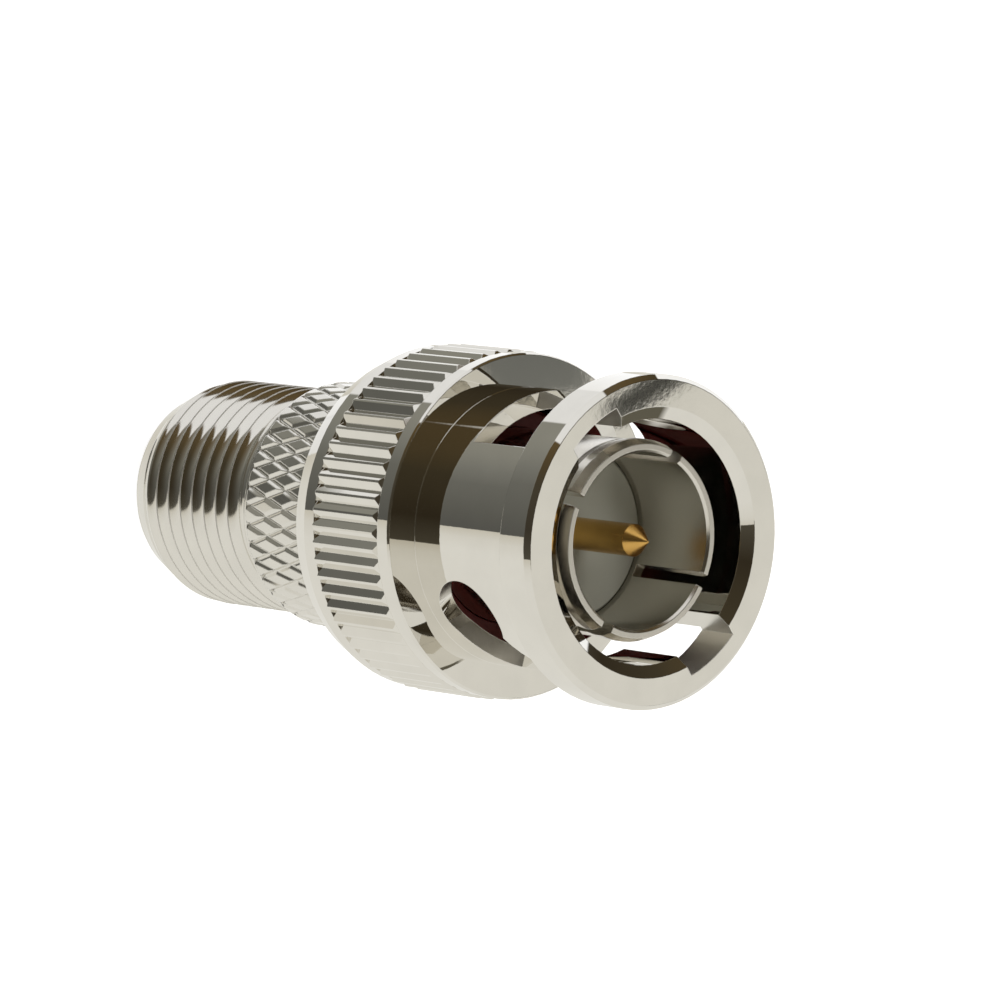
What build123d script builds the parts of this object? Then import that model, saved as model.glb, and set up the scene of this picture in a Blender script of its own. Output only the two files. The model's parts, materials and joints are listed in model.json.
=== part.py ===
"""Bayonet plug to threaded F jack adapter: a coaxial connector of turned, nickel-plated brass.

It stands on its F end. +Z runs along the axis towards the bayonet end, and z = 0 is the F end face.
All sizes are millimetres. Angles run about +Z, from +X.
"""
from build123d import *
from math import cos, pi, radians, sin
import os

os.makedirs("parts", exist_ok=True)

# Fits and running clearances
press_gap = 0.02
running_gap = 0.08
washer_gap = 0.10

# F jack: 3/8-32 thread and knurled collar
thread_radius = 4.7625
thread_length = 8.70
thread_lead_in = 0.70
collar_radius = 5.155
collar_length = 5.70
collar_edge = 0.12
jack_bore_radius = 3.25
end_lip_radius = 2.70
end_lip_thickness = 0.50

# Plug body: slotted outer contact, flange, hub and spigot
spigot_radius = 4.00
spigot_length = 3.00
spigot_wall = 0.98
hub_length = 2.50
flange_overlap = 0.95
flange_ledge = 1.30
flange_thickness = 1.10
contact_radius = 4.02
contact_wall = 0.44
contact_length = 9.66
contact_bore_step = 3.10
contact_bulge = 0.07
contact_bulge_length = 0.45
contact_tip_edge = 0.10
contact_slots = 4
contact_slot_width = 0.55
contact_slot_depth = 3.94
contact_slot_angle = 65.0

# Centre contact: male pin in front, its thin shank pressed in the slotted spring socket behind
pin_radius = 0.66
pin_reach = 0.34
pin_tip_length = 0.80
pin_tip_flat = 0.06
pin_shank_radius = 0.45
pin_grip_length = 2.80
socket_radius = 1.05
socket_bore_radius = 0.56
socket_web = 0.60
socket_slot_width = 0.26
socket_slot_set_back = 0.80

# Insulators
insulator_set_back = 4.11
insulator_edge = 0.12
socket_set_back = 1.10
entry_hole_radius = 0.75
entry_funnel = 0.50

# Gasket, washers and retaining ring
gasket_width = 0.83
gasket_thickness = 1.65
gasket_edge = 0.15
thrust_washer_thickness = 0.40
wave_washer_thickness = 0.22
wave_height = 0.60
wave_count = 3
ring_thickness = 0.60
ring_width = 1.16
ring_gap_angle = 30.0

# Coupling nut: turned outline
nut_rear_lip = 0.70
ring_groove_depth = 0.45
rim_wall = 0.67
rear_rim_length = 1.60
rear_chamfer = 0.38
rear_chamfer_length = 0.98
front_rim_length = 0.70
front_rim_edge = 0.08
neck_wall = 0.75
neck_length = 6.25
head_rise = 1.05
head_length = 1.85
head_edge = 0.20
mouth_chamfer_width = 0.50
mouth_chamfer_depth = 0.30

# Coupling nut: straight knurl
knurl_rise = 0.08
knurl_length = 4.00
knurl_count = 64
knurl_depth = 0.21
knurl_groove_width = 0.62
knurl_end_slope = 0.22

# Coupling nut: bayonet slots
lug_count = 2
lug_slot_width = 2.70
lug_slot_overcut = 0.16
lug_entry_angle = 217.4
lug_turn = 90.0
lug_level_turn = 50.0
lug_ramp_turn = 38.0
lug_level_set_back = 4.85
lug_ramp_drop = 1.20
detent_radius = 1.65
detent_return = 0.28

# Stations along the axis, from the F end
collar_end = thread_length + collar_length
spigot_start = collar_end - spigot_length
flange_start = collar_end + hub_length
flange_end = flange_start + flange_thickness
contact_end = flange_end + contact_length
bore_step_start = flange_end - contact_bore_step
gasket_end = flange_end + gasket_thickness
insulator_end = contact_end - insulator_set_back
pin_end = contact_end + pin_reach
socket_start = end_lip_thickness + socket_set_back
pin_start = spigot_start - pin_grip_length
socket_bore_end = pin_start - socket_web
socket_slot_end = socket_bore_end - socket_slot_set_back

wave_end = flange_start - thrust_washer_thickness
wave_start = wave_end - 2 * wave_height
ring_start = wave_start - ring_thickness
nut_start = ring_start - nut_rear_lip
knurl_start = nut_start + rear_rim_length
knurl_end = knurl_start + knurl_length
neck_start = knurl_end + front_rim_length
head_start = neck_start + neck_length
nut_end = head_start + head_length

# Radii, from the outer contact outwards
spigot_bore_radius = spigot_radius - spigot_wall
contact_bore_radius = contact_radius - contact_wall
gasket_radius = contact_radius + gasket_width
nut_bore_radius = gasket_radius + washer_gap
flange_radius = nut_bore_radius + flange_overlap
hub_radius = flange_radius - flange_ledge
chamber_radius = flange_radius + running_gap
washer_radius = chamber_radius - washer_gap
washer_bore_radius = hub_radius + washer_gap
ring_groove_radius = chamber_radius + ring_groove_depth
ring_radius = ring_groove_radius - press_gap
rim_radius = ring_groove_radius + rim_wall
knurl_radius = rim_radius + knurl_rise
knurl_floor_radius = knurl_radius - knurl_depth
knurl_core_radius = (ring_groove_radius + knurl_floor_radius) / 2
neck_radius = nut_bore_radius + neck_wall
lug_slot_radius = neck_radius + lug_slot_overcut
head_radius = neck_radius + head_rise


def turned(points):
    """Revolve a closed half-section, given as (radius, height) points, about the axis."""
    with BuildPart() as piece:
        with BuildSketch(Plane.XZ):
            with BuildLine():
                Polyline(*points, close=True)
            make_face()
        revolve(axis=Axis.Z)
    return piece.part


# F jack body: threaded barrel with a turned-in end lip and a knurled collar
with BuildPart() as f_jack_body:
    add(turned([
        (end_lip_radius, 0),
        (thread_radius - thread_lead_in, 0),
        (thread_radius, thread_lead_in),
        (thread_radius, thread_length),
        (collar_radius - collar_edge, thread_length),
        (collar_radius, thread_length + collar_edge),
        (collar_radius, collar_end - collar_edge),
        (collar_radius - collar_edge, collar_end),
        (spigot_radius + press_gap, collar_end),
        (spigot_radius + press_gap, spigot_start),
        (jack_bore_radius, spigot_start),
        (jack_bore_radius, end_lip_thickness),
        (end_lip_radius, end_lip_thickness),
    ]))

# Plug body: spigot, hub and flange, with the slotted outer contact in front
with BuildPart() as outer_contact:
    add(turned([
        (contact_radius, flange_end),
        (flange_radius, flange_end),
        (flange_radius, flange_start),
        (hub_radius, flange_start),
        (hub_radius, collar_end),
        (spigot_radius, collar_end),
        (spigot_radius, spigot_start),
        (spigot_bore_radius, spigot_start),
        (spigot_bore_radius, bore_step_start),
        (contact_bore_radius, bore_step_start),
        (contact_bore_radius, contact_end - contact_tip_edge),
        (contact_bore_radius + contact_tip_edge, contact_end),
        (contact_radius - contact_tip_edge, contact_end),
        (contact_radius + contact_bulge, contact_end - contact_bulge_length),
        (contact_radius + contact_bulge, contact_end - 2 * contact_bulge_length),
        (contact_radius, contact_end - 3 * contact_bulge_length),
    ]))
    with PolarLocations(contact_radius, contact_slots, start_angle=contact_slot_angle):
        with Locations((0, 0, contact_end)):
            Box(contact_radius, contact_slot_width, 2 * contact_slot_depth, mode=Mode.SUBTRACT)

# Centre pin: conical tip, shoulder on the front insulator's face, thin shank
with BuildPart() as centre_pin:
    add(turned([
        (0, pin_start),
        (pin_shank_radius, pin_start),
        (pin_shank_radius, insulator_end),
        (pin_radius, insulator_end),
        (pin_radius, pin_end - pin_tip_length),
        (pin_tip_flat, pin_end),
        (0, pin_end),
    ]))

# Spring socket of the F side: pressed on the pin's shank in front, one saw cut behind makes two leaves
with BuildPart() as f_contact:
    add(turned([
        (socket_bore_radius, socket_start),
        (socket_radius, socket_start),
        (socket_radius, spigot_start),
        (pin_shank_radius + press_gap, spigot_start),
        (pin_shank_radius + press_gap, pin_start - press_gap),
        (0, pin_start - press_gap),
        (0, socket_bore_end),
        (socket_bore_radius, socket_bore_end),
    ]))
    Box(3 * socket_radius, socket_slot_width, 2 * socket_slot_end, mode=Mode.SUBTRACT)

# Front insulator: stepped bush, clamped between the pin's shoulder and the spring socket
with BuildPart() as front_insulator:
    add(turned([
        (pin_shank_radius + press_gap, spigot_start),
        (spigot_bore_radius - press_gap, spigot_start),
        (spigot_bore_radius - press_gap, bore_step_start),
        (contact_bore_radius - press_gap, bore_step_start),
        (contact_bore_radius - press_gap, insulator_end - insulator_edge),
        (contact_bore_radius - press_gap - insulator_edge, insulator_end),
        (pin_shank_radius + press_gap, insulator_end),
    ]))

# Rear insulator: bush round the spring socket, with a funnel for the centre wire
with BuildPart() as rear_insulator:
    add(turned([
        (entry_hole_radius + entry_funnel, end_lip_thickness),
        (jack_bore_radius - press_gap, end_lip_thickness),
        (jack_bore_radius - press_gap, spigot_start),
        (socket_radius + press_gap, spigot_start),
        (socket_radius + press_gap, socket_start),
        (entry_hole_radius, socket_start),
        (entry_hole_radius, end_lip_thickness + entry_funnel),
    ]))

# Gasket: soft ring at the foot of the outer contact
with BuildPart() as gasket:
    add(turned([
        (contact_radius + press_gap, flange_end),
        (gasket_radius, flange_end),
        (gasket_radius, gasket_end - gasket_edge),
        (gasket_radius - gasket_edge, gasket_end),
        (contact_radius + press_gap, gasket_end),
    ]))

# Thrust washer: flat ring behind the flange
with BuildPart() as thrust_washer:
    add(turned([
        (washer_bore_radius, wave_end),
        (washer_radius, wave_end),
        (washer_radius, flange_start),
        (washer_bore_radius, flange_start),
    ]))


def wave_washer(middle_height, direction):
    """Make a thin ring that waves up and down as it goes round, centred on a height."""
    middle_radius = (washer_bore_radius + washer_radius) / 2
    swing = direction * (wave_height - wave_washer_thickness - press_gap) / 2
    steps = 6
    with BuildPart() as one_wave:
        for step in range(steps + 1):
            turn = 360 / wave_count * step / steps
            lift = swing * cos(2 * pi * step / steps)
            with BuildSketch(Plane.XZ.rotated((0, 0, turn))):
                with Locations((middle_radius, middle_height + lift)):
                    Rectangle(washer_radius - washer_bore_radius, wave_washer_thickness)
        loft()
    with BuildPart() as washer:
        with PolarLocations(0, wave_count):
            add(one_wave.part)
    return washer.part


# Wave washers: two springs, crest to crest
with BuildPart() as wave_washer_1:
    add(wave_washer(wave_end - wave_height / 2, 1))
with BuildPart() as wave_washer_2:
    add(wave_washer(wave_start + wave_height / 2, -1))

# Retaining ring: open ring sprung into the nut's rear groove
with BuildPart() as retaining_ring:
    with BuildSketch(Plane.XY.offset(ring_start)):
        Circle(ring_radius)
        Circle(ring_radius - ring_width, mode=Mode.SUBTRACT)
        with BuildLine():
            reach = 2 * ring_groove_radius
            half_gap = radians(ring_gap_angle / 2)
            Polyline(
                (0, 0),
                (reach * cos(half_gap), reach * sin(half_gap)),
                (reach * cos(half_gap), -reach * sin(half_gap)),
                close=True,
            )
        make_face(mode=Mode.SUBTRACT)
    extrude(amount=ring_thickness)


def bayonet_slot():
    """Make the cutter of one slot: entry groove, level run, ramp and round detent, entry at angle 0."""
    level_height = nut_end - lug_level_set_back
    ramp_end_height = level_height - lug_ramp_drop
    ramp_end_angle = -lug_level_turn - lug_ramp_turn
    entry_depth = lug_level_set_back + lug_slot_width / 2
    wall = (nut_bore_radius + lug_slot_radius) / 2
    across = 2 * (lug_slot_radius - nut_bore_radius)

    with BuildPart() as ramp:
        with BuildLine() as path:
            Helix(pitch=360 * lug_ramp_drop / lug_ramp_turn, height=lug_ramp_drop, radius=wall)
        with BuildSketch(Plane.XZ):
            with Locations((wall, 0)):
                Rectangle(across, lug_slot_width)
        sweep(path=path.line, is_frenet=True)

    with BuildPart() as slot:
        with Locations((wall, 0, nut_end - entry_depth / 2 + mouth_chamfer_depth)):
            Box(across, lug_slot_width, entry_depth + 2 * mouth_chamfer_depth)
        with BuildSketch(Plane.XZ.rotated((0, 0, -lug_level_turn - 1))):
            with Locations((wall, level_height)):
                Rectangle(across, lug_slot_width)
        revolve(axis=Axis.Z, revolution_arc=lug_level_turn + 1)
        with Locations(Location((0, 0, ramp_end_height), (0, 0, ramp_end_angle))):
            add(ramp.part)
        detent_turn = Plane.XZ.rotated((0, 0, -lug_turn + 90))
        with BuildSketch(detent_turn):
            with Locations((0, ramp_end_height + detent_return)):
                Circle(detent_radius)
        extrude(amount=-2 * lug_slot_radius)
        with BuildSketch():
            Circle(lug_slot_radius)
            Circle(nut_bore_radius - running_gap, mode=Mode.SUBTRACT)
        extrude(amount=2 * nut_end, mode=Mode.INTERSECT)
    return slot.part


# Straight knurl: band with flat ridges, sloped at the front end, between V grooves
with BuildPart() as knurl_band:
    with BuildSketch(Plane.XY.offset(knurl_start)):
        RegularPolygon(knurl_radius, knurl_count, major_radius=False)
    extrude(amount=knurl_length)
    chamfer(knurl_band.faces().sort_by(Axis.Z)[-1].edges(), knurl_end_slope)
    with BuildSketch(Plane.XY.offset(knurl_start)):
        Circle(ring_groove_radius)
        with PolarLocations(knurl_floor_radius, knurl_count):
            Polygon(
                (0, 0),
                (knurl_depth, -knurl_groove_width / 2),
                (2 * knurl_depth, -knurl_groove_width / 2),
                (2 * knurl_depth, knurl_groove_width / 2),
                (knurl_depth, knurl_groove_width / 2),
                align=None,
            )
    extrude(amount=knurl_length, mode=Mode.SUBTRACT)

# Coupling nut: turned blank, knurl and two bayonet slots
with BuildPart() as coupling_nut:
    add(turned([
        (chamber_radius, nut_start),
        (rim_radius - rear_chamfer, nut_start),
        (rim_radius, nut_start + rear_chamfer_length),
        (rim_radius, knurl_start),
        (knurl_core_radius, knurl_start),
        (knurl_core_radius, knurl_end),
        (rim_radius, knurl_end),
        (rim_radius, neck_start - front_rim_edge),
        (rim_radius - front_rim_edge, neck_start),
        (neck_radius, neck_start),
        (neck_radius, head_start),
        (head_radius - head_edge, head_start),
        (head_radius, head_start + head_edge),
        (head_radius, nut_end - head_edge),
        (head_radius - head_edge, nut_end),
        (nut_bore_radius + mouth_chamfer_width, nut_end),
        (nut_bore_radius, nut_end - mouth_chamfer_depth),
        (nut_bore_radius, flange_end),
        (chamber_radius, flange_end),
        (chamber_radius, ring_start + ring_thickness),
        (ring_groove_radius, ring_start + ring_thickness),
        (ring_groove_radius, ring_start),
        (chamber_radius, ring_start),
    ]))
    add(knurl_band.part)
    with PolarLocations(0, lug_count, start_angle=lug_entry_angle):
        add(bayonet_slot(), mode=Mode.SUBTRACT)

# Label and write every piece
pieces = {
    "f_jack_body": f_jack_body,
    "outer_contact": outer_contact,
    "centre_pin": centre_pin,
    "f_contact": f_contact,
    "front_insulator": front_insulator,
    "rear_insulator": rear_insulator,
    "gasket": gasket,
    "thrust_washer": thrust_washer,
    "wave_washer_1": wave_washer_1,
    "wave_washer_2": wave_washer_2,
    "retaining_ring": retaining_ring,
    "coupling_nut": coupling_nut,
}
for name, piece in pieces.items():
    piece.part.label = name
    export_step(piece.part, f"parts/{name}.step")
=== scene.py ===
"""Looks of the bayonet to threaded coaxial adapter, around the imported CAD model.

Lengths are metres in the CAD frame: the adapter stands on its F end, +Z towards the bayonet end.
"""
import bpy
import bmesh
import json
from math import atan2, ceil, cos, floor, pi, radians, sin, tau
from mathutils import Matrix, Vector


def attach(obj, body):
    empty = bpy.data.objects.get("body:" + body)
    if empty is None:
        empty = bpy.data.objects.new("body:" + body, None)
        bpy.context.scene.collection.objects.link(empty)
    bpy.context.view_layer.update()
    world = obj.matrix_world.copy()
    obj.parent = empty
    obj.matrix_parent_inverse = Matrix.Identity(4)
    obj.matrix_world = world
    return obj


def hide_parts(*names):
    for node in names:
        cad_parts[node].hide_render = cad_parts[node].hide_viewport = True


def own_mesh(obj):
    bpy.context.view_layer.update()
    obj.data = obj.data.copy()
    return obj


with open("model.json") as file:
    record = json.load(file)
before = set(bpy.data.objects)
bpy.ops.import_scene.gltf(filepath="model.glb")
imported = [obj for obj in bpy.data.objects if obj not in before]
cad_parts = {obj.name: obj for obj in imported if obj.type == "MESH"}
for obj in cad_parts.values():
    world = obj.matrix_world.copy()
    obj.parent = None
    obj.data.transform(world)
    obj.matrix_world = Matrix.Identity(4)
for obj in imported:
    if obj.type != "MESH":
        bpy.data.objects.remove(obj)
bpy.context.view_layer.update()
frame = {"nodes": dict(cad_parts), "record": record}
nodes = frame["nodes"]
MM = 0.001


# Camera, fitted to the photograph's turned edges
CAMERA_PLACE = Vector((-0.01886, -0.20174, 0.25121))
CAMERA_LOOK = Vector((0.0594, 0.6548, -0.7535)).normalized()
CAMERA_RIGHT = Vector((-0.0515, 0.7558, 0.6528))
FOCAL_LENGTH = 271.36
SENSOR_WIDTH = 36
SHIFT = (-0.0024, 0.0104)
CLIP = (0.02, 20)

camera_data = bpy.data.cameras.new("camera")
camera_data.sensor_width = SENSOR_WIDTH
camera_data.lens = FOCAL_LENGTH
camera_data.shift_x, camera_data.shift_y = SHIFT
camera_data.clip_start, camera_data.clip_end = CLIP
camera = bpy.data.objects.new("camera", camera_data)
bpy.context.scene.collection.objects.link(camera)
right = (CAMERA_RIGHT - CAMERA_RIGHT.dot(CAMERA_LOOK) * CAMERA_LOOK).normalized()
turn = Matrix((right, right.cross(CAMERA_LOOK), -CAMERA_LOOK)).transposed().to_4x4()
camera.matrix_world = Matrix.Translation(CAMERA_PLACE) @ turn
bpy.context.scene.camera = camera
bpy.context.scene.view_settings.view_transform = "Standard"


# Small helpers for node trees
class Tree:
    """A node tree with short calls to add nodes and join them."""

    def __init__(self, owner):
        owner.use_nodes = True
        self.tree = owner.node_tree
        self.tree.nodes.clear()

    def add(self, kind, **inputs):
        """Add a node; keywords set its properties, or its inputs by name or number."""
        node = self.tree.nodes.new(kind)
        for key, value in inputs.items():
            if hasattr(node, key):
                setattr(node, key, value)
                continue
            place = int(key[1:]) if key[0] == "_" else key.replace("_", " ")
            socket = node.inputs[place]
            if isinstance(value, bpy.types.NodeSocket):
                self.tree.links.new(value, socket)
            else:
                socket.default_value = value
        return node

    def math(self, operation, first, second=0.0, third=0.0, clamp=False):
        """Arithmetic on up to three values, held between 0 and 1 where clamp says so."""
        return self.add(
            "ShaderNodeMath", operation=operation, use_clamp=clamp, _0=first, _1=second, _2=third
        ).outputs[0]

    def vector(self, operation, first, second=None, output="Vector"):
        """Vector maths; the outputs are Vector, or Value for a length or a dot product."""
        inputs = {"_0": first} if second is None else {"_0": first, "_1": second}
        return self.add("ShaderNodeVectorMath", operation=operation, **inputs).outputs[output]

    def ramp(self, factor, stops):
        """Colours along a factor, from (position, colour) stops."""
        node = self.add("ShaderNodeValToRGB", _0=factor)
        ramp = node.color_ramp
        while len(ramp.elements) < len(stops):
            ramp.elements.new(0.5)
        for element, (position, colour) in zip(ramp.elements, stops):
            element.position = position
            element.color = (*colour, 1)
        return node.outputs[0]

    def blend(self, factor, first, second):
        """Mix of two colours: the first at a factor of 0, the second at 1."""
        return self.add(
            "ShaderNodeMix", data_type="RGBA", _0=factor, _6=first, _7=second
        ).outputs[2]


# Surroundings: white to the camera, to everything else the photograph's room round its table
TABLE_UP = Vector((-0.978, -0.1695, 0.119)).normalized()
TO_CAMERA = (-CAMERA_LOOK + CAMERA_LOOK.dot(TABLE_UP) * TABLE_UP).normalized()
TO_RIGHT = TABLE_UP.cross(TO_CAMERA)
# Each of the next three is a slope and a start along its direction
DARK_IN_FRONT = (2.0, 0.25)
DARK_FADE_LEFT = (0.8, 1.0)
DARK_AT_RIGHT = (5.0, 0.3)

EDGE_SHARPNESS = 60.0
HORIZON_SHARPNESS = 300.0
HORIZON_DROP = 0.0625
HORIZON_DROP_SLOPE = 1.25
BACKDROP_ACROSS = TO_RIGHT - 0.72 * TO_CAMERA
BACKDROP_FAR_SIDE = -1.25 * TO_CAMERA - TO_RIGHT
BACKDROP_TOP = -1.3 * TO_CAMERA - TABLE_UP
SOFTBOX_NEAR_SIDE = TO_RIGHT - 0.42 * TO_CAMERA + 0.42 * TABLE_UP
SOFTBOX_FAR_SIDE = 0.47 * TABLE_UP + 0.42 * TO_CAMERA - TO_RIGHT
SOFTBOX_FOOT = 0.62 * TABLE_UP - TO_CAMERA
SOFTBOX_COLOUR = (0.88, 0.88, 0.88, 1)
# Dark disc on the table beside the adapter: painted shade of the adapter on its table
TABLE_SHADE_MIDDLE = 0.67 * TO_RIGHT - 0.20 * TO_CAMERA - 0.71 * TABLE_UP
TABLE_SHADE_RADIUS = 13
TABLE_SHADE_COLOUR = (0.13, 0.12, 0.09, 1)
FAR_RIGHT = 0.9
BLACK_THING_SLANT = 0.45
BLACK_THING_HEIGHTS = (-0.0060, -0.0012)
BLACK_THING_REACH = (0.120, 0.1475)
BLACK_THING_TOP_SHARPNESS = 1200
BLACK_THING_SIDE_SHARPNESS = 400
BLACK_THING_COLOUR = (0.03, 0.03, 0.025, 1)
GREY_THING_FOOT = -0.0664
GREY_THING_REACH = (0.1468, 0.1622)
GREY_THING_SHARPNESS = 800
GREY_THING_COLOUR = (0.17, 0.172, 0.158, 1)

world = bpy.data.worlds.new("studio")
bpy.context.scene.world = world
tree = Tree(world)
direction = tree.add("ShaderNodeTexCoord").outputs["Generated"]


def along(axis):
    """How far a ray's direction goes along an axis."""
    return tree.vector("DOT_PRODUCT", direction, tuple(axis), "Value")


def inside(*sides):
    """Share of a direction that lies on the positive side of every axis, with narrow edges."""
    share = 1.0
    for axis in sides:
        edge = tree.math("MULTIPLY", along(axis), EDGE_SHARPNESS, clamp=True)
        share = tree.math("MULTIPLY", edge, share)
    return share


def disc(middle, radius):
    """Share of a direction that lies within a radius in degrees of the middle, with a soft edge."""
    edge = cos(radians(radius))
    depth = tree.math("SUBTRACT", along(middle.normalized()), edge)
    return tree.math("MULTIPLY", depth, 2 / (1 - edge), clamp=True)


def between(value, limits, sharpness):
    """Share of a value that lies between two limits, with edges of a given sharpness."""
    above = tree.math("MULTIPLY", tree.math("SUBTRACT", value, limits[0]), sharpness, clamp=True)
    below = tree.math("MULTIPLY", tree.math("SUBTRACT", limits[1], value), sharpness, clamp=True)
    return tree.math("MULTIPLY", above, below)


height = along(TABLE_UP)
towards = along(TO_CAMERA)
rightwards = along(TO_RIGHT)

left_wall = tree.ramp(height, [
    (0.0, (0.105, 0.104, 0.095)),
    (0.14, (0.122, 0.121, 0.108)),
    (0.37, (0.158, 0.157, 0.140)),
    (0.46, (0.208, 0.207, 0.185)),
    (0.56, (0.280, 0.276, 0.240)),
    (1.0, (0.30, 0.29, 0.26)),
])
dark_room = tree.ramp(height, [
    (0.0, (0.075, 0.066, 0.048)),
    (0.25, (0.036, 0.028, 0.017)),
    (0.6, (0.055, 0.044, 0.026)),
    (0.85, (0.115, 0.080, 0.036)),
    (1.0, (0.10, 0.09, 0.07)),
])
in_front = tree.math(
    "MULTIPLY", tree.math("MULTIPLY_ADD", towards, *DARK_IN_FRONT, clamp=True),
    tree.math("MULTIPLY_ADD", rightwards, *DARK_FADE_LEFT, clamp=True),
)
at_right = tree.math("MULTIPLY_ADD", rightwards, *DARK_AT_RIGHT, clamp=True)
room = tree.blend(tree.math("MAXIMUM", in_front, at_right), left_wall, dark_room)

backdrop = tree.ramp(along(BACKDROP_ACROSS), [
    (0.0, (0.85, 0.85, 0.84)),
    (0.42, (1.0, 1.0, 1.0)),
    (0.70, (1.11, 1.12, 1.14)),
])
room = tree.blend(inside(BACKDROP_ACROSS, BACKDROP_FAR_SIDE, BACKDROP_TOP), room, backdrop)
softbox = inside(SOFTBOX_NEAR_SIDE, SOFTBOX_FAR_SIDE, SOFTBOX_FOOT)
room = tree.blend(softbox, room, SOFTBOX_COLOUR)

table = tree.ramp(tree.math("MULTIPLY", height, -1.0), [
    (0.0, (0.66, 0.63, 0.55)),
    (0.08, (0.76, 0.745, 0.69)),
    (0.2, (0.82, 0.81, 0.765)),
    (1.0, (0.82, 0.81, 0.765)),
])
at_side = tree.math("MULTIPLY", rightwards, HORIZON_DROP_SLOPE, clamp=True)
horizon_drop = tree.math("MULTIPLY", at_side, HORIZON_DROP)
above_table = tree.math("ADD", height, horizon_drop)
above_table = tree.math("MULTIPLY", above_table, HORIZON_SHARPNESS, clamp=True)
# Painted shade: a dark disc on the table beside the adapter
table = tree.blend(disc(TABLE_SHADE_MIDDLE, TABLE_SHADE_RADIUS), table, TABLE_SHADE_COLOUR)
surroundings = tree.blend(above_table, table, room)

is_far_right = tree.math("GREATER_THAN", rightwards, FAR_RIGHT)

# Small black thing far off at the right, which the coupling nut's front face mirrors
slant = tree.math("MULTIPLY_ADD", towards, BLACK_THING_SLANT, height)
black_thing = tree.math(
    "MULTIPLY", between(slant, BLACK_THING_HEIGHTS, BLACK_THING_TOP_SHARPNESS),
    between(towards, BLACK_THING_REACH, BLACK_THING_SIDE_SHARPNESS),
)
black_thing = tree.math("MULTIPLY", black_thing, is_far_right)
surroundings = tree.blend(black_thing, surroundings, BLACK_THING_COLOUR)

# Grey thing beside it at the table's far edge, which the front rim's face mirrors
over_foot = tree.math("SUBTRACT", height, GREY_THING_FOOT)
grey_thing = tree.math("MULTIPLY", over_foot, GREY_THING_SHARPNESS, clamp=True)
grey_thing = tree.math("MULTIPLY", grey_thing, tree.math("LESS_THAN", height, 0.0))
grey_thing = tree.math("MULTIPLY", grey_thing, between(towards, GREY_THING_REACH, GREY_THING_SHARPNESS))
grey_thing = tree.math("MULTIPLY", grey_thing, is_far_right)
surroundings = tree.blend(grey_thing, surroundings, GREY_THING_COLOUR)

camera_ray = tree.add("ShaderNodeLightPath").outputs["Is Camera Ray"]
seen = tree.blend(camera_ray, surroundings, (1, 1, 1, 1))
background = tree.add("ShaderNodeBackground", Color=seen, Strength=1.0)
tree.add("ShaderNodeOutputWorld", Surface=background.outputs[0])


# Floor: pale and matt, with a glow that makes it white to the camera
FLOOR_HALF_WIDTH = 1.5
FLOOR_COLOUR = (0.8, 0.8, 0.8, 1)
FLOOR_GLOW = 0.8

floor_mesh = bmesh.new()
bmesh.ops.create_grid(floor_mesh, x_segments=1, y_segments=1, size=FLOOR_HALF_WIDTH)
floor_data = bpy.data.meshes.new("floor")
floor_mesh.to_mesh(floor_data)
floor_mesh.free()
floor_piece = bpy.data.objects.new("floor", floor_data)
bpy.context.scene.collection.objects.link(floor_piece)
floor_piece.visible_glossy = False
floor_piece.visible_transmission = False
floor_material = bpy.data.materials.new("floor")
tree = Tree(floor_material)
matt = tree.add("ShaderNodeBsdfDiffuse", Color=FLOOR_COLOUR)
glow = tree.add("ShaderNodeEmission", Color=(1, 1, 1, 1), Strength=FLOOR_GLOW)
lit = tree.add("ShaderNodeAddShader", _0=matt.outputs[0], _1=glow.outputs[0])
is_camera = tree.add("ShaderNodeLightPath").outputs["Is Camera Ray"]
mixed = tree.add("ShaderNodeMixShader", _0=is_camera, _1=matt.outputs[0], _2=lit.outputs[0])
tree.add("ShaderNodeOutputMaterial", Surface=mixed.outputs[0])
floor_data.materials.append(floor_material)


# Lamp: one soft square lamp over the adapter, not mirrored by it
LAMP_SIDE = Vector((-0.45, 0.1, 0.88)).normalized()
LAMP_DISTANCE = 0.30
LAMP_WIDTH = 0.12
LAMP_WATTS = 0.25
ADAPTER_MIDDLE = Vector((0, 0, 0.014))

lamp_data = bpy.data.lights.new("key", "AREA")
lamp_data.shape = "SQUARE"
lamp_data.size = LAMP_WIDTH
lamp_data.energy = LAMP_WATTS
lamp = bpy.data.objects.new("key", lamp_data)
bpy.context.scene.collection.objects.link(lamp)
lamp.location = ADAPTER_MIDDLE + LAMP_SIDE * LAMP_DISTANCE
lamp.rotation_mode = "QUATERNION"
lamp.rotation_quaternion = LAMP_SIDE.to_track_quat("Z", "Y")
lamp.visible_glossy = False


# Metal, plastic and rubber finishes; radii and wear in millimetres
SLOT_FLOOR_RADIUS = 5.86
SLOT_FLOOR_TOLERANCE = 0.06
WALL_LEAST_SIDEWAYS = 0.3
FLOOR_LEAST_OUTWARDS = 0.8
NUT_BORE_RADIUS = 4.95
THREAD_CREST = 4.7625
CREST_WEAR = 0.045
MOTTLE_SCALE = 700.0
MOTTLE_DETAIL = 4.0
GRAIN_SCALE = 3200.0
GRAIN_DETAIL = 3.0
GRAIN_ROUGHNESS = 0.6
END_FACE_CALM = 0.6
BEVEL_SAMPLES = 6


def from_axis(tree, geometry):
    """The level vector from the adapter's axis to the point being shaded, in millimetres."""
    return tree.vector("MULTIPLY", geometry["Position"], (1 / MM, 1 / MM, 0))


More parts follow.
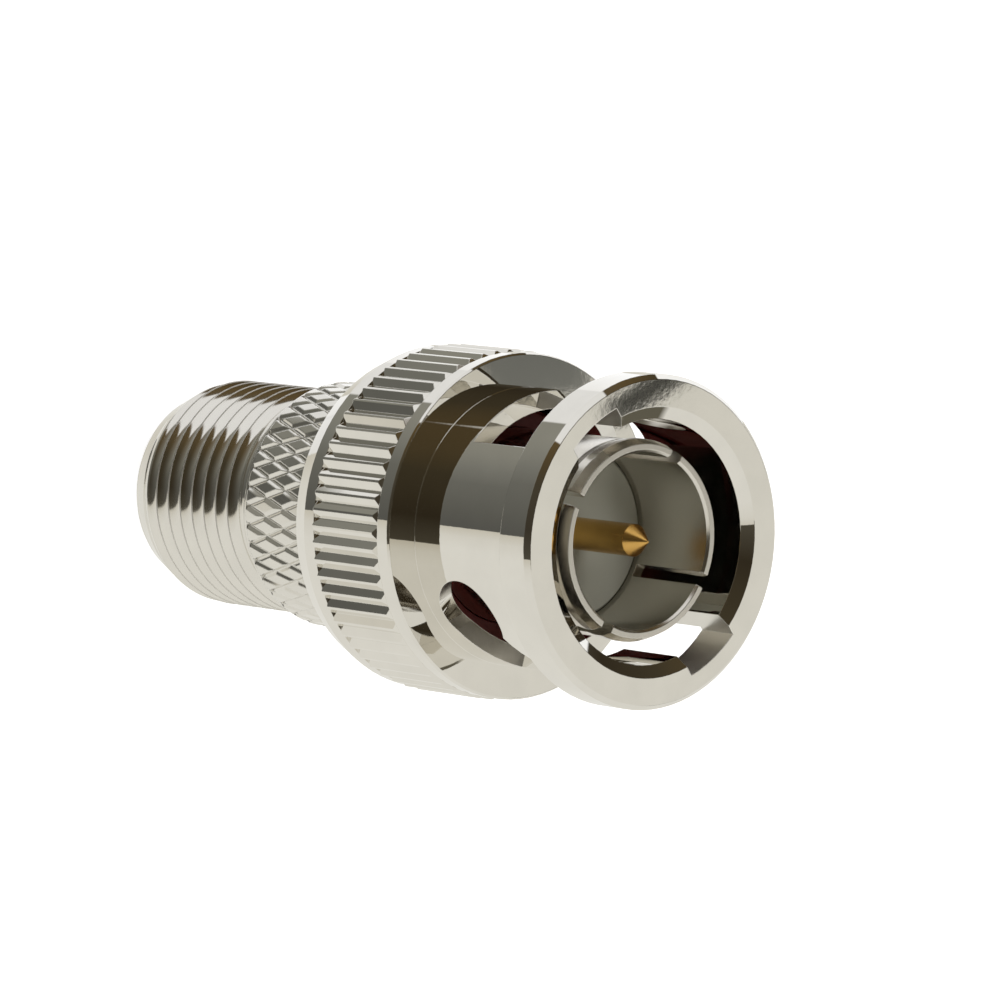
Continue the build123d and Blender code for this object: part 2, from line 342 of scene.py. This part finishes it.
def milled_share(tree):
    """1 on the sideways walls and the floors of the bayonet slots, and 0 elsewhere on the nut."""
    geometry = tree.add("ShaderNodeNewGeometry").outputs
    level = from_axis(tree, geometry)
    radius = tree.vector("LENGTH", level, output="Value")
    outwards = tree.vector("NORMALIZE", level)
    sideways = tree.vector("CROSS_PRODUCT", outwards, (0, 0, 1))
    facing_out, facing_sideways = (
        tree.math("ABSOLUTE", tree.vector("DOT_PRODUCT", geometry["True Normal"], axis, "Value"))
        for axis in (outwards, sideways)
    )
    middle = (NUT_BORE_RADIUS + SLOT_FLOOR_RADIUS) / 2
    is_between = tree.math("COMPARE", radius, middle, SLOT_FLOOR_RADIUS - middle)
    is_sideways = tree.math("GREATER_THAN", facing_sideways, WALL_LEAST_SIDEWAYS)
    is_wall = tree.math("MULTIPLY", is_sideways, is_between)
    is_low = tree.math("COMPARE", radius, SLOT_FLOOR_RADIUS, SLOT_FLOOR_TOLERANCE)
    is_outwards = tree.math("GREATER_THAN", facing_out, FLOOR_LEAST_OUTWARDS)
    is_floor = tree.math("MULTIPLY", is_outwards, is_low)
    return tree.math("MAXIMUM", is_wall, is_floor)


def crest_share(tree):
    """1 on the thread's worn crests, and 0 elsewhere."""
    level = from_axis(tree, tree.add("ShaderNodeNewGeometry").outputs)
    return tree.math("COMPARE", tree.vector("LENGTH", level, output="Value"), THREAD_CREST, CREST_WEAR)


def finish(
    name, colour, roughness, grain, metallic=1.0, edge=0.05, mottle=0.06, rough_parts=None, rougher_by=0.0,
):
    """Mottled surface with softened edges and a fine grain, both in millimetres; parts may be rougher."""
    material = bpy.data.materials.new(name)
    tree = Tree(material)
    shader = tree.add("ShaderNodeBsdfPrincipled", Metallic=metallic, Roughness=roughness)
    place = tree.add("ShaderNodeTexCoord").outputs["Object"]
    clouds = tree.add(
        "ShaderNodeTexNoise", Vector=place, Scale=MOTTLE_SCALE, Detail=MOTTLE_DETAIL
    ).outputs[0]
    lighter, darker = (
        (*(share * part for part in colour), 1) for share in (1 + mottle, 1 - mottle)
    )
    tree.tree.links.new(tree.blend(clouds, lighter, darker), shader.inputs["Base Color"])
    if rough_parts:
        rougher = tree.math("MULTIPLY_ADD", rough_parts(tree), rougher_by, roughness)
        tree.tree.links.new(rougher, shader.inputs["Roughness"])
    soft_edge = tree.add("ShaderNodeBevel", samples=BEVEL_SAMPLES, Radius=edge * MM).outputs[0]
    noise = tree.add(
        "ShaderNodeTexNoise", Vector=place, Scale=GRAIN_SCALE, Detail=GRAIN_DETAIL, Roughness=GRAIN_ROUGHNESS
    )
    true_normal = tree.add("ShaderNodeNewGeometry").outputs["True Normal"]
    lengthways = tree.add("ShaderNodeSeparateXYZ", _0=true_normal).outputs[2]
    calm = tree.math("MULTIPLY_ADD", tree.math("ABSOLUTE", lengthways), -END_FACE_CALM, 1.0)
    bumpy = tree.add(
        "ShaderNodeBump", Strength=1.0, Distance=tree.math("MULTIPLY", calm, grain * MM),
        Height=noise.outputs[0], Normal=soft_edge,
    )
    tree.tree.links.new(bumpy.outputs[0], shader.inputs["Normal"])
    tree.add("ShaderNodeOutputMaterial", Surface=shader.outputs[0])
    return material


nickel = finish("nickel_plate", (0.80, 0.78, 0.73), 0.03, grain=0.0004)
nut_nickel = finish(
    "nut_nickel_plate", (0.80, 0.78, 0.73), 0.02, grain=0.0004, edge=0.04,
    rough_parts=milled_share, rougher_by=0.27,
)
thread_nickel = finish(
    "thread_nickel_plate", (0.79, 0.77, 0.72), 0.09, grain=0.0006, edge=0.09,
    rough_parts=crest_share, rougher_by=0.45,
)
contact_nickel = finish("contact_nickel_plate", (0.74, 0.71, 0.65), 0.20, grain=0.0010)
gold = finish("gold_flash", (0.70, 0.42, 0.12), 0.24, grain=0.0006, mottle=0.12)
steel = finish("spring_steel", (0.55, 0.55, 0.53), 0.3, grain=0.0010, mottle=0.10)
# The white plastic is grey: partly the translucent plastic's own tone, partly painted shade for the
# insulator deep in the sleeve
plastic = finish("white_plastic", (0.42, 0.42, 0.355), 0.45, grain=0.0008, metallic=0.0, mottle=0.08)
rubber = finish("red_rubber", (0.22, 0.025, 0.02), 0.5, grain=0.0020, metallic=0.0, mottle=0.25)
finishes = {
    "nickel": nickel, "gold": gold, "spring_steel": steel, "white_plastic": plastic, "red_rubber": rubber,
}
for row in frame["record"]["subparts"]:
    node = nodes[row["node"]]
    node.data.materials.clear()
    node.data.materials.append(finishes[row["material_slot"]])
nodes["coupling_nut"].data.materials[0] = nut_nickel
nodes["outer_contact"].data.materials[0] = contact_nickel


# Threaded and knurled F jack body, in place of the CAD's smooth one; lengths in millimetres
BARREL_STEPS = 160
SHARP_ANGLE = radians(14)
CUT_TOLERANCE = 1e-9
THREAD_PITCH = 25.4 / 32
THREAD_DEPTH = 0.32
THREAD_ROWS = 14
THREAD_LENGTH = 8.50
THREAD_LEAD_IN = 0.74
THREAD_LEAD_IN_LENGTH = 1.75
THREAD_CREST_PLACE = 2.24
RELIEF_START = 7.30
RELIEF_RUNOUT = 0.30
CAMERA_SIDE = radians(265.9)
END_FACE_RIM = 0.10
END_LIP_RADIUS = 2.70
END_LIP_THICKNESS = 0.50
BARREL_BORE = 3.25
SPIGOT_BORE = 4.02
SPIGOT_START = 11.40
COLLAR_RADIUS = 5.155
COLLAR_END = 14.40
COLLAR_EDGE = 0.12
KNURL_COUNT = 40
KNURL_ROW = 1.145
KNURL_DEPTH = 0.12
KNURL_GROOVE = 0.19
KNURL_CROSSING = 9.96
KNURL_START = 8.78
KNURL_END = 14.10
KNURL_RING_DROP = 0.05


def polar(radius, angle, height):
    """A point in metres from cylinder coordinates in millimetres."""
    return Vector((radius * cos(angle), radius * sin(angle), height)) * MM


def angle_of(vertex):
    """A vertex's angle about the adapter's axis, from 0 to a full turn."""
    return atan2(vertex.co.y, vertex.co.x) % tau


def ring_chain(mesh, profile):
    """Rings of vertices along a half-section, joined by quads; returns the first and last ring."""
    rings = []
    for radius, height in profile:
        rings.append([
            mesh.verts.new(polar(radius, tau * step / BARREL_STEPS, height)) for step in range(BARREL_STEPS)
        ])
    for lower, upper in zip(rings, rings[1:]):
        for step in range(BARREL_STEPS):
            after = (step + 1) % BARREL_STEPS
            mesh.faces.new((lower[step], lower[after], upper[after], upper[step]))
    return rings[0], rings[-1]


def zip_rings(mesh, first, second):
    """Join two rings of any numbers of vertices by triangles, going round both by angle."""
    first = sorted(first, key=angle_of)
    second = sorted(second, key=angle_of)

    def place(ring, index):
        return angle_of(ring[index % len(ring)]) + tau * (index // len(ring))

    i = j = 0
    while i < len(first) or j < len(second):
        here, there = first[i % len(first)], second[j % len(second)]
        first_is_next = i < len(first) and place(first, i + 1) <= place(second, j + 1)
        if j == len(second) or first_is_next:
            i += 1
            mesh.faces.new((here, first[i % len(first)], there))
        else:
            j += 1
            mesh.faces.new((here, second[j % len(second)], there))


def trim(mesh, faces, height, keep_above):
    """Cut a sheet of faces level at a height, drop the part beyond and return the rim's vertices."""
    parts = set(faces)
    for face in faces:
        parts.update(face.verts)
        parts.update(face.edges)
    result = bmesh.ops.bisect_plane(
        mesh, geom=list(parts), dist=CUT_TOLERANCE, plane_co=(0, 0, height * MM), plane_no=(0, 0, 1),
        clear_inner=keep_above, clear_outer=not keep_above,
    )
    return [item for item in result["geom_cut"] if isinstance(item, bmesh.types.BMVert)]


def thread_sheet(mesh):
    """Right-hand thread: rows that follow the helix, one pitch further on where they meet again."""
    rows = [row / THREAD_ROWS for row in range(THREAD_ROWS)]
    profile = [(THREAD_PITCH * row, THREAD_DEPTH * sin(pi * row)) for row in rows]
    turns = ceil(THREAD_LENGTH / THREAD_PITCH) + 3
    crest = (THREAD_CREST_PLACE - THREAD_PITCH * CAMERA_SIDE / tau) % THREAD_PITCH
    start = crest - 2 * THREAD_PITCH
    columns = []
    for step in range(BARREL_STEPS):
        column = []
        for turn in range(turns):
            for place, depth in profile:
                height = start + (turn + step / BARREL_STEPS) * THREAD_PITCH + place
                lead_in = THREAD_LEAD_IN * max(1 - max(height, 0) / THREAD_LEAD_IN_LENGTH, 0)
                relief = THREAD_DEPTH * min((height - RELIEF_START) / RELIEF_RUNOUT, 1)
                radius = THREAD_CREST - max(depth, lead_in, relief)
                column.append(mesh.verts.new(polar(radius, tau * step / BARREL_STEPS, height)))
        columns.append(column)
    faces = []
    for step in range(BARREL_STEPS):
        near, far = columns[step], columns[(step + 1) % BARREL_STEPS]
        if step == BARREL_STEPS - 1:
            far = far[len(profile):]
        for row in range(len(far) - 1):
            faces.append(mesh.faces.new((near[row], far[row], far[row + 1], near[row + 1])))
    return faces


def knurl_sheet(mesh):
    """Diamond knurl: flat-topped diamonds between two sets of crossing V grooves."""
    places = [0, KNURL_GROOVE, 0.5, 1 - KNURL_GROOVE]
    steps = len(places)
    verts = {}

    def vertex(first, second):
        if first >= KNURL_COUNT * steps:
            first, second = first - KNURL_COUNT * steps, second + KNURL_COUNT * steps
        if (first, second) not in verts:
            along, across = (
                key // steps + places[key % steps] for key in (first, second)
            )
            groove = max(
                1 - min(place % 1, -place % 1) / KNURL_GROOVE for place in (along, across)
            )
            radius = COLLAR_RADIUS - KNURL_DEPTH * max(groove, 0)
            angle = CAMERA_SIDE + pi * (along - across) / KNURL_COUNT
            height = KNURL_CROSSING + KNURL_ROW * (along + across)
            verts[first, second] = mesh.verts.new(polar(radius, angle, height))
        return verts[first, second]

    first_row = floor((KNURL_START - KNURL_CROSSING) / KNURL_ROW) - 2
    last_row = ceil((KNURL_END - KNURL_CROSSING) / KNURL_ROW) + 1
    faces = []
    for first in range(KNURL_COUNT * steps):
        cell = first // steps
        for second in range((first_row - cell) * steps, (last_row - cell) * steps):
            corners = [
                vertex(first, second), vertex(first + 1, second),
                vertex(first + 1, second + 1), vertex(first, second + 1),
            ]
            in_first, in_second = first % steps, second % steps
            ends = (0, steps - 1)
            if in_first in ends and in_second in ends:
                turn = int(in_first == in_second)
                corners = corners[1 - turn:] + corners[:1 - turn]
                faces.append(mesh.faces.new((corners[0], corners[1], corners[2])))
                faces.append(mesh.faces.new((corners[0], corners[2], corners[3])))
            else:
                faces.append(mesh.faces.new(corners))
    return faces


def build_jack_body():
    """One closed mesh: thread, shoulder, knurl, collar's end, bores and end lip."""
    mesh = bmesh.new()
    thread = thread_sheet(mesh)
    thread_start = trim(mesh, thread, 0, True)
    thread_end = trim(mesh, list(mesh.faces), THREAD_LENGTH, False)
    before = set(mesh.faces)
    knurl = knurl_sheet(mesh)
    knurl_start = trim(mesh, knurl, KNURL_START, True)
    knurl = [face for face in mesh.faces if face not in before]
    knurl_end = trim(mesh, knurl, KNURL_END, False)
    ring = COLLAR_RADIUS - KNURL_RING_DROP
    bore_start, front_end = ring_chain(mesh, [
        (THREAD_CREST - THREAD_LEAD_IN - END_FACE_RIM, 0),
        (END_LIP_RADIUS, 0),
        (END_LIP_RADIUS, END_LIP_THICKNESS),
        (BARREL_BORE, END_LIP_THICKNESS),
        (BARREL_BORE, SPIGOT_START),
        (SPIGOT_BORE, SPIGOT_START),
        (SPIGOT_BORE, COLLAR_END),
        (COLLAR_RADIUS - COLLAR_EDGE, COLLAR_END),
        (ring, COLLAR_END - COLLAR_EDGE),
        (ring, KNURL_END),
    ])
    shoulder_start, rear_end = ring_chain(mesh, [
        (COLLAR_RADIUS - COLLAR_EDGE, THREAD_LENGTH),
        (ring, THREAD_LENGTH + COLLAR_EDGE),
        (ring, KNURL_START),
    ])
    zip_rings(mesh, thread_start, bore_start)
    zip_rings(mesh, thread_end, shoulder_start)
    zip_rings(mesh, rear_end, knurl_start)
    zip_rings(mesh, knurl_end, front_end)
    bmesh.ops.recalc_face_normals(mesh, faces=mesh.faces)
    data = bpy.data.meshes.new("threaded_jack_body")
    mesh.to_mesh(data)
    mesh.free()
    for polygon in data.polygons:
        polygon.use_smooth = True
    data.set_sharp_from_angle(angle=SHARP_ANGLE)
    piece = bpy.data.objects.new("threaded_jack_body", data)
    bpy.context.scene.collection.objects.link(piece)
    return piece


jack_body = build_jack_body()
jack_body.data.materials.append(thread_nickel)
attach(jack_body, "adapter_body")
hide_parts("f_jack_body")


for washer in ("wave_washer_1", "wave_washer_2"):
    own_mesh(nodes[washer])
